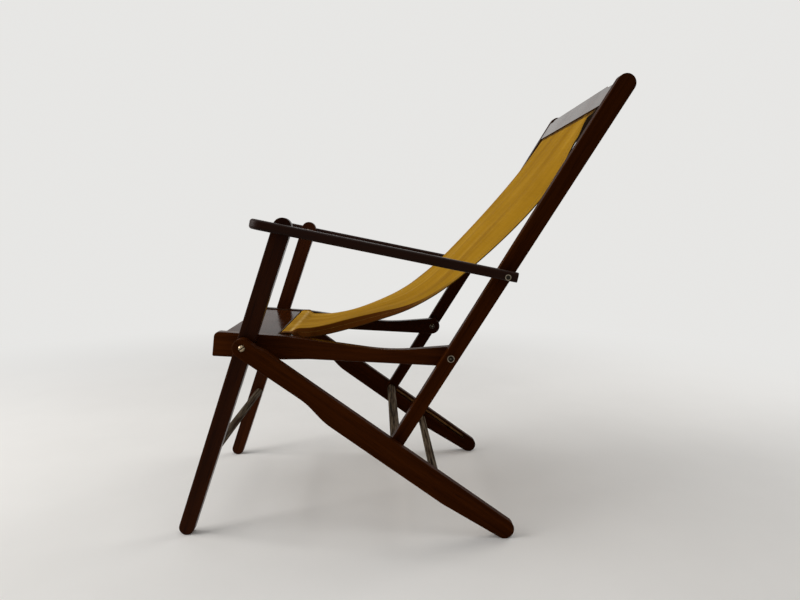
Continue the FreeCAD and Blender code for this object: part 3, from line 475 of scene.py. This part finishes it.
class Finish:
    """One material, and the nodes that are added to it."""

    def __init__(self, name, **constants):
        self.material = bpy.data.materials.new(name)
        self.material.use_nodes = True
        self.tree = self.material.node_tree
        self.shader = self.tree.nodes["Principled BSDF"]
        for socket, value in constants.items():
            self.shader.inputs[socket.replace("_", " ")].default_value = value

    def add(self, kind, inputs, **settings):
        """A new node. Its inputs are outputs of other nodes, or values."""
        node = self.tree.nodes.new("ShaderNode" + kind)
        for name, value in settings.items():
            setattr(node, name, value)
        for name, value in inputs.items():
            if isinstance(value, bpy.types.NodeSocket):
                self.tree.links.new(value, node.inputs[name])
            else:
                node.inputs[name].default_value = value
        return node

    def link(self, output, socket):
        """Links an output to one of the shader's own sockets."""
        self.tree.links.new(output, self.shader.inputs[socket])

    def noise(self, vector, scale, detail=3.0, roughness=0.55, distortion=0.0):
        return self.add("TexNoise", {"Vector": vector, "Scale": scale, "Detail": detail,
                                     "Roughness": roughness, "Distortion": distortion}).outputs["Fac"]

    def stretch(self, vector, scale):
        """Places that are scaled along each axis."""
        return self.add("Mapping", {"Vector": vector, "Scale": scale}).outputs["Vector"]

    def grain_noise(self, grain, along, *settings):
        """Noise that is drawn out along the grain."""
        return self.noise(self.stretch(grain, (1, 1, along)), *settings)

    def span(self, value, low, high, to_low=0.0, to_high=1.0):
        """Where a value lies between low and high, as a number from to_low to to_high."""
        return self.add("MapRange", {"Value": value, "From Min": low, "From Max": high,
                                     "To Min": to_low, "To Max": to_high}).outputs["Result"]

    def math(self, operation, first, second):
        return self.add("Math", {0: first, 1: second}, operation=operation).outputs[0]

    def ramp(self, value, stops):
        """The colour at a value between stops of (place, colour)."""
        node = self.add("ValToRGB", {"Fac": value})
        elements = node.color_ramp.elements
        while len(elements) < len(stops):
            elements.new(0.5)
        for element, (place, colour) in zip(elements, stops):
            element.position = place
            element.color = (*colour, 1)
        return node.outputs["Color"]

    def mix(self, factor, first, second, blend="MIX"):
        """The first colour, with the second one over it as far as the factor says."""
        node = self.add("Mix", {}, data_type="RGBA", blend_type=blend)
        for name, value in (("Factor_Float", factor), ("A_Color", first), ("B_Color", second)):
            socket = next(entry for entry in node.inputs if entry.identifier == name)
            if isinstance(value, bpy.types.NodeSocket):
                self.tree.links.new(value, socket)
            else:
                socket.default_value = value
        return next(entry for entry in node.outputs if entry.identifier == "Result_Color")

    def bump(self, height, strength, distance):
        """Fine relief on the surface."""
        node = self.add("Bump", {"Height": height, "Strength": strength, "Distance": distance})
        self.link(node.outputs["Normal"], "Normal")

    def edges(self, radius):
        """1 on sharp edges and 0 on flat faces."""
        soft = self.add("Bevel", {"Radius": radius}, samples=6).outputs["Normal"]
        flat = self.add("NewGeometry", {}).outputs["Normal"]
        facing = self.add("VectorMath", {0: soft, 1: flat}, operation="DOT_PRODUCT").outputs["Value"]
        return self.span(facing, *EDGE_TURN)


def wood(name, turn, middle, tone=1.0, gloss=1.15, rough=(0.20, 0.40), wear_and_highlight=0.75,
         tint=(0.14, 0.10, 0.08)):
    """Dark varnished wood with its grain along a member that is turned like this about its pivot.
    gloss is the varnish's index of refraction, rough its least and largest roughness, wear_and_highlight how
    pale its edges are, rubbed and with a painted highlight that is strongest where they face up, and tint
    the varnish's colour face on."""
    finish = Finish(name, IOR=gloss, Specular_Tint=(*tint, 1))
    place = finish.add("TexCoord", {}).outputs["Object"]
    spin = Matrix.Rotation(turn[0], 3, "X") @ Matrix.Rotation(turn[1], 3, "Y")
    shift = -(spin @ Vector(middle))
    turned = finish.add("Mapping", {"Vector": place, "Rotation": (*turn, 0), "Location": shift})
    grain = turned.outputs["Vector"]
    figure = finish.grain_noise(grain, *FIGURE_NOISE)
    streak = finish.grain_noise(grain, *STREAK_NOISE)
    pore = finish.grain_noise(grain, *PORE_NOISE)
    cloud = finish.noise(grain, 11, 4)
    toned = [(stop, tuple(tone * level for level in levels)) for stop, levels in WOOD_FIGURE]
    colour = finish.ramp(figure, toned)
    lines = finish.ramp(streak, WOOD_LINES)
    colour = finish.mix(0.40, colour, lines, "MULTIPLY")
    pores = finish.span(pore, 0.60, 0.68)
    colour = finish.mix(finish.math("MULTIPLY", pores, 0.6), colour, PORE)
    # Edges rubbed pale with a painted highlight, the more where they face up towards the light
    patches = finish.span(finish.noise(grain, 34, 4), 0.42, 0.66)
    facing = finish.add("SeparateXYZ", {"Vector": finish.add("NewGeometry", {}).outputs["Normal"]})
    lit_from_above = finish.span(facing.outputs["Z"], -0.1, 0.7, 0.35, 1)
    worn_and_highlit = finish.math("MULTIPLY", finish.math("MULTIPLY", finish.edges(EDGE_REACH), patches), lit_from_above)
    colour = finish.mix(finish.math("MULTIPLY", worn_and_highlit, wear_and_highlight), colour, WORN_AND_HIGHLIT_EDGE)
    finish.link(colour, "Base Color")
    dull = finish.math("ADD", finish.span(cloud, 0.35, 0.70, *rough),
                       finish.math("MULTIPLY", worn_and_highlit, 0.15))
    finish.link(dull, "Roughness")
    height = finish.math("SUBTRACT", finish.math("MULTIPLY", streak, 0.35), pores)
    finish.bump(height, 0.3 * rough[1], 0.0004)
    return finish, grain, colour


def weather(finish, grain, colour):
    """Grey wood of a rod that has lost its varnish, with dark cracks along it."""
    bare = finish.grain_noise(grain, *BARE_NOISE)
    crack = finish.grain_noise(grain, *CRACK_NOISE)
    grey = finish.ramp(bare, BARE_WOOD)
    grey = finish.mix(finish.span(crack, 0.48, 0.42), grey, CRACK)
    finish.link(finish.mix(finish.span(bare, 0.28, 0.42, 0.35, 1), colour, grey), "Base Color")


def rub_groove(finish, grain, colour):
    """Bare wood in the lower part of the rear leg's groove, where the pins slide."""
    axes = finish.add("SeparateXYZ", {"Vector": grain}).outputs
    side = finish.math("ABSOLUTE", axes["X"], 0)
    rubbed = finish.span(finish.noise(grain, 60, 3), 0.30, 0.60, 0.35, 1)
    limits = ((side, *GROOVE_IN), (axes["Y"], *GROOVE_ACROSS), (axes["Z"], *GROOVE_ALONG))
    for place, middle, reach in limits:
        inside = finish.add("Math", {0: place, 1: middle, 2: reach}, operation="COMPARE").outputs[0]
        rubbed = finish.math("MULTIPLY", rubbed, inside)
    finish.link(finish.mix(rubbed, colour, RUBBED_WOOD), "Base Color")


def wood_finishes():
    """Each wooden node's material, with the grain along the member. Those of a pair have a tone for the left
    and one for the right. On the seat rail, back stile and rear leg the right-hand tone is lower: painted
    shade on the far side."""
    def lean(degrees):
        return math.radians(degrees), 0

    across = (0, math.radians(90))
    front = (0, *FRONT_PIVOT)
    back = (0, *BACK_PIVOT)
    polish = {"gloss": 1.22, "rough": (0.32, 0.50), "wear_and_highlight": 0.1, "tint": (0.55, 0.50, 0.50)}
    matt = {"gloss": 1.04, "wear_and_highlight": 0.4}
    satin = {"gloss": 1.06, "rough": (0.35, 0.50)}
    waxed = {"tint": (0.50, 0.50, 0.55)}
    # Tones for the left and right piece. The lower right-hand tones of the seat rail, back stile and rear leg are
    # painted shade
    pairs = {
        "seat_rail": (lean(RAIL_TURN), front, {}, (1.15, 0.45)),
        "back_stile": (lean(STILE_LEAN), back, matt, (1.0, 0.55)),
        "rear_leg": (lean(REAR_DROP - 90), front, satin, (0.95, 0.60)),
        "front_leg": (lean(LEG_LEAN), front, waxed, (0.62, 0.98)),
        "arm": (lean(ARM_TURN), (0, *ARM_PIVOT), polish, (0.35, 0.35)),
    }
    made = {
        "crest_rail": wood("wood_crest_rail", across, back, tone=0.9, gloss=1.65, rough=(0.12, 0.25)),
        "rod": wood("wood_rod", across, back, tone=0.9, gloss=1.06, rough=(0.55, 0.75)),
        "board": wood("wood_board", across, back, tone=0.85, gloss=1.07, rough=(0.10, 0.20)),
    }
    for kind, (turn, middle, finish, tones) in pairs.items():
        for side, tone in zip(("left", "right"), tones):
            name = kind + "_" + side
            made[name] = wood("wood_" + name, turn, middle, tone, **finish)
    weather(*made["rod"])
    rub_groove(*made["rear_leg_left"])
    rub_groove(*made["rear_leg_right"])
    return {name: parts[0].material for name, parts in made.items()}


def metal(name, bright, dark, smooth, rough, pivot=None, rings=(), slot=None):
    """Metal that has dulled in patches, from bright and smooth to dark and rough. Round a pivot its
    brightness follows rings of (radius, level). A slot across the pivot, which rises at this angle
    towards the back, is darkened."""
    finish = Finish(name, Metallic=1.0)
    place = finish.add("TexCoord", {}).outputs["Object"]
    patch = finish.noise(place, 330, 4, 0.65)
    speck = finish.noise(place, 1700, 2)
    tarnish = finish.span(patch, 0.40, 0.64)
    colour = finish.mix(tarnish, (*bright, 1), (*dark, 1))
    if pivot is not None:
        offset = finish.add("VectorMath", {0: place, 1: (0, *pivot)}, operation="SUBTRACT").outputs["Vector"]
        plane = finish.stretch(offset, (0, 1, 1))
        away = finish.add("VectorMath", {0: plane}, operation="LENGTH").outputs["Value"]
        levels = [(radius / RING_SPAN, (level, level, level)) for radius, level in rings]
        colour = finish.mix(1.0, colour, finish.ramp(finish.span(away, 0, RING_SPAN), levels), "MULTIPLY")
    if slot is not None:
        across = (0, -math.sin(slot), math.cos(slot))
        aside = finish.add("VectorMath", {0: offset, 1: across}, operation="DOT_PRODUCT").outputs["Value"]
        slot_dark = finish.span(finish.math("ABSOLUTE", aside, 0), *SLOT_HALF)
        colour = finish.mix(slot_dark, colour, SLOT_DARK)
    finish.link(colour, "Base Color")
    finish.link(finish.span(patch, 0.35, 0.65, smooth, rough), "Roughness")
    finish.bump(finish.math("ADD", speck, patch), 0.15, 0.0002)
    return finish.material


def canvas_finish(crease, end):
    """Ochre cotton canvas in plain weave, faded in lengthwise streaks, rubbed pale on the crease behind
    the bar with a painted highlight there, painted dark as shade on the hanging hems of the seat, dirty
    along its edges, and painted dark as shade at its end under the crest rail and on its left hem where
    that turns back below the rail. crease and end are distances along it."""
    finish = Finish("canvas_ochre", Sheen_Weight=0.03, Sheen_Roughness=0.5, IOR=1.12)
    finish.shader.inputs["Sheen Tint"].default_value = (1.0, 0.80, 0.35, 1)
    flat = finish.add("UVMap", {}, uv_map="flat_cut").outputs["UV"]
    yarns = {"Vector": flat, "Scale": WEAVE_SCALE, "Distortion": 0.6, "Detail": 1}
    warp, weft = (finish.add("TexWave", yarns, bands_direction=axis).outputs["Fac"] for axis in ("X", "Y"))
    over = finish.math("MULTIPLY", finish.span(warp, 0, 1, -1, 1), finish.span(weft, 0, 1, -1, 1))
    threads = finish.noise(finish.stretch(flat, (1, 0.02, 1)), 420, 2)
    slubs = finish.noise(finish.stretch(flat, (0.03, 1, 1)), 380, 2)
    streak = finish.noise(finish.stretch(flat, (1, 0.09, 1)), 17, 3, 0.5)
    cloud = finish.noise(flat, 7, 4)
    colour = finish.ramp(streak, CANVAS_STREAKS)
    colour = finish.mix(1.0, colour, finish.ramp(cloud, CANVAS_FADE), "MULTIPLY")
    yarn = finish.math("ADD", finish.math("MULTIPLY", threads, 0.5), finish.math("MULTIPLY", slubs, 0.5))
    colour = finish.mix(0.5, colour, finish.ramp(yarn, CANVAS_YARN), "MULTIPLY")
    gaps = finish.span(over, -1.0, -0.4, 0.22, 0)
    colour = finish.mix(gaps, colour, WEAVE_GAP)
    edge = finish.add("Attribute", {}, attribute_name="edge_distance").outputs["Fac"]
    axes = finish.add("SeparateXYZ", {"Vector": flat}).outputs
    along = axes["Y"]
    # The crease behind the bar, rubbed pale and given a painted highlight along its ridge
    off_crease = finish.math("ABSOLUTE", finish.math("SUBTRACT", along, crease), 0)
    rubbed = finish.math("MULTIPLY", finish.span(off_crease, *CREASE_REACH, 0, 0.75),
                         finish.span(finish.noise(flat, 40, 3), 0.35, 0.62, 0.1, 1))
    colour = finish.mix(rubbed, colour, CREASE_WORN_AND_HIGHLIT)
    # Painted shade on the hanging hems of the seat, where they turn down away from the light
    hem = finish.math("MULTIPLY", finish.span(edge, *HEM_BORDER),
                      finish.span(along, *HEM_FADES, 0.05, 0.97))
    colour = finish.mix(hem, colour, HANGING_HEM_SHADE)
    # Dirty edges, and painted shade at the end where the canvas goes under the crest rail
    dirt_and_shade = finish.math("MAXIMUM", finish.span(edge, *EDGE_DIRT),
                         finish.span(along, end - END_SHADE[0], end - END_SHADE[1]))
    dirt_and_shade_amount = finish.math("MULTIPLY", dirt_and_shade, finish.span(finish.noise(flat, 45, 3), 0.25, 0.60, 0.45, 1))
    colour = finish.mix(dirt_and_shade_amount, colour, CANVAS_DIRT_AND_SHADE)
    # Painted shade on the left hem where it turns back below the crest rail
    turned_wide = finish.span(along, end - TURNED_RUN[0], end - TURNED_RUN[1], 0, TURNED_WIDE)
    turned = finish.math("SUBTRACT", turned_wide, edge)
    shaded = finish.math("MULTIPLY", finish.span(turned, *TURNED_BORDER),
                         finish.math("GREATER_THAN", axes["X"], 0))
    colour = finish.mix(shaded, colour, HEM_SHADE)
    finish.link(colour, "Base Color")
    finish.link(finish.span(threads, 0.3, 0.7, 0.78, 0.95), "Roughness")
    finish.bump(finish.math("ADD", over, finish.math("MULTIPLY", threads, 0.6)), 0.20, 0.0004)
    return finish.material


def thread_finish():
    """Twisted cotton thread."""
    finish = Finish("canvas_thread", Sheen_Weight=0.1, IOR=1.3)
    place = finish.add("TexCoord", {}).outputs["Object"]
    twist = finish.noise(place, 1400, 2)
    finish.link(finish.ramp(twist, THREAD), "Base Color")
    finish.link(finish.span(twist, 0.3, 0.7, 0.65, 0.85), "Roughness")
    finish.bump(twist, 0.3, 0.0002)
    return finish.material


def dress_nodes():
    """A finished material on each CAD node that stays."""
    woods = wood_finishes()
    metals = {
        "steel": metal("steel_dull", (0.24, 0.20, 0.16), (0.055, 0.036, 0.022), 0.30, 0.5),
        "aged_brass": metal("brass_aged", (0.26, 0.19, 0.105), (0.060, 0.036, 0.016), 0.28, 0.5),
    }
    rivet_rings = [(0.0000, 0.30), (0.0012, 0.60), (0.0022, 0.60), (0.0028, 0.05), (0.0058, 0.05),
                   (0.0062, 1.1), (0.0076, 1.1)]
    bolt_rings = [(0.0000, 0.06), (0.0042, 0.06), (0.0047, 0.8), (0.0060, 0.8)]
    dome_rings = [(0.0000, 1.0), (0.0050, 1.0), (0.0070, 0.5)]
    pivots = {
        "back_pivot_rivets": metal("rivet_aged", (0.30, 0.26, 0.20), (0.13, 0.10, 0.07), 0.30, 0.5,
                                   BACK_PIVOT, rivet_rings),
        "back_pivot_washers": metal("ring_worn", (0.25, 0.21, 0.16), (0.13, 0.10, 0.07), 0.30, 0.5),
        "arm_pivot_bolts": metal("arm_bolt_aged", (0.34, 0.29, 0.22), (0.16, 0.12, 0.08), 0.30, 0.5,
                                 ARM_PIVOT, bolt_rings),
        "rear_pivot_bolts": metal("dome_aged", (0.42, 0.33, 0.22), (0.19, 0.135, 0.075), 0.22, 0.38,
                                  FRONT_PIVOT, dome_rings, math.radians(DOME_SLOT_TURN)),
    }
    slots = {entry["node"]: entry["material_slot"] for entry in frame["record"]["subparts"]}
    cross_pieces = {"foot_bar": "rod", "front_stretcher": "rod", "rear_stretcher": "rod",
                    "seat_front_board": "board", "canvas_front_bar": "board"}
    for name, node in frame["nodes"].items():
        if slots[name] == "canvas":
            continue
        finish = pivots.get(name) or metals.get(slots[name]) or woods[cross_pieces.get(name, name)]
        node.data.materials.clear()
        node.data.materials.append(finish)


# Stage

def floor_finish():
    """Pale floor that fades into the background away from the chair."""
    finish = Finish("floor_pale", Roughness=0.75, IOR=1.25)
    place = finish.add("TexCoord", {}).outputs["Object"]
    mottle = finish.noise(place, 2.2, 4)
    finish.link(finish.ramp(mottle, FLOOR_MOTTLE), "Base Color")
    glow = finish.add("Emission", {"Color": PALE, "Strength": 1.0})
    away = finish.add("VectorMath", {0: place}, operation="LENGTH").outputs["Value"]
    fade = finish.add("MapRange", {"Value": away, "From Min": FLOOR_FADE[0], "From Max": FLOOR_FADE[1]},
                      interpolation_type="SMOOTHSTEP").outputs["Result"]
    path = finish.add("LightPath", {}).outputs
    mirrored = finish.math("MAXIMUM", path["Is Glossy Ray"], path["Is Transmission Ray"])
    seen = finish.math("MULTIPLY", fade, finish.math("MAXIMUM", path["Is Camera Ray"], mirrored))
    both = finish.add("MixShader", {"Fac": seen, 1: finish.shader.outputs[0], 2: glow.outputs[0]})
    target = finish.tree.nodes["Material Output"]
    finish.tree.links.new(both.outputs[0], target.inputs["Surface"])
    return finish.material


def floor():
    """A round floor: a disc, and a wide ring about it."""
    turn = np.linspace(0, 2 * math.pi, FLOOR_CORNERS, endpoint=False)
    ring = np.column_stack([np.cos(turn), np.sin(turn), np.zeros(FLOOR_CORNERS)])
    points = np.vstack([[(0, 0, 0)], ring * FLOOR_RADII[0], ring * FLOOR_RADII[1]])
    first = np.arange(1, FLOOR_CORNERS + 1)
    following = np.roll(first, -1)
    disc = np.column_stack([0 * first, first, following])
    around = np.column_stack([first, first + FLOOR_CORNERS, following + FLOOR_CORNERS, following])
    mesh = bpy.data.meshes.new("floor")
    mesh.from_pydata(points.tolist(), [], disc.tolist() + around.tolist())
    piece = bpy.data.objects.new("floor", mesh)
    mesh.materials.append(floor_finish())
    bpy.context.scene.collection.objects.link(piece)


def lamp(name, place, target, power, wide, tall, colour):
    """A soft lamp with a flat face that is turned to its target."""
    light = bpy.data.lights.new(name, "AREA")
    light.shape = "RECTANGLE"
    light.size = wide
    light.size_y = tall
    light.energy = power
    light.color = colour
    fixture = bpy.data.objects.new(name, light)
    fixture.location = place
    fixture.rotation_euler = (Vector(target) - Vector(place)).to_track_quat("-Z", "Y").to_euler()
    bpy.context.scene.collection.objects.link(fixture)


def world_light():
    """Even light from all round. The camera and reflections see the pale background instead."""
    world = bpy.data.worlds.new("studio")
    bpy.context.scene.world = world
    world.use_nodes = True
    tree = world.node_tree
    soft = tree.nodes["Background"]
    soft.inputs["Color"].default_value = WORLD_LIGHT
    soft.inputs["Strength"].default_value = WORLD_STRENGTH
    seen = tree.nodes.new("ShaderNodeBackground")
    seen.inputs["Color"].default_value = PALE
    path = tree.nodes.new("ShaderNodeLightPath")
    glossy = tree.nodes.new("ShaderNodeMath")
    glossy.operation = "MAXIMUM"
    either = tree.nodes.new("ShaderNodeMath")
    either.operation = "MAXIMUM"
    both = tree.nodes.new("ShaderNodeMixShader")
    joined = {
        glossy: (path.outputs["Is Glossy Ray"], path.outputs["Is Transmission Ray"]),
        either: (path.outputs["Is Camera Ray"], glossy.outputs[0]),
        both: (either.outputs[0], soft.outputs[0], seen.outputs[0]),
        tree.nodes["World Output"]: (both.outputs[0],),
    }
    for node, sources in joined.items():
        for source, socket in zip(sources, node.inputs):
            tree.links.new(source, socket)


def camera():
    """The photograph's view: from the chair's left side, a little above its middle."""
    yaw, pitch, roll = (math.radians(angle) for angle in YAW_PITCH_ROLL)
    ahead = Vector((-math.cos(pitch) * math.cos(yaw), math.cos(pitch) * math.sin(yaw), -math.sin(pitch)))
    level = ahead.cross(Vector((0, 0, 1))).normalized()
    above = level.cross(ahead)
    right = math.cos(roll) * level + math.sin(roll) * above
    up = math.cos(roll) * above - math.sin(roll) * level
    lens = bpy.data.cameras.new("camera")
    lens.sensor_fit = "HORIZONTAL"
    lens.sensor_width = SENSOR
    lens.lens = FOCAL_SHARE * SENSOR
    viewer = bpy.data.objects.new("camera", lens)
    turned = Matrix((right, up, -ahead)).transposed().to_4x4()
    viewer.matrix_world = Matrix.Translation(EYE) @ turned
    bpy.context.scene.collection.objects.link(viewer)
    bpy.context.scene.camera = viewer


# The dressed chair

dress_nodes()
top, bottom, normals, flat, inset = canvas_layers()
cloth = canvas_piece(top, bottom, flat, inset)
cut_length = float(flat[-1, 0, 1])
crease_place = np.array((0, *(BAR + BAR_HALF + (0, CANVAS_CLEAR))))
crease_row = np.argmin(np.linalg.norm((top - crease_place)[:, top.shape[1] // 2], axis=1))
cloth.data.materials.append(canvas_finish(float(flat[crease_row, 0, 1]), cut_length))
thread = stitching(top, bottom, normals, inset)
thread.data.materials.append(thread_finish())
for soft_piece in (cloth, thread):
    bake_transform(soft_piece)
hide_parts("canvas_sling")

floor()
world_light()
for lamp_name, setting in LAMPS.items():
    lamp(lamp_name, *setting)
camera()
bpy.context.scene.view_settings.view_transform = "Standard"
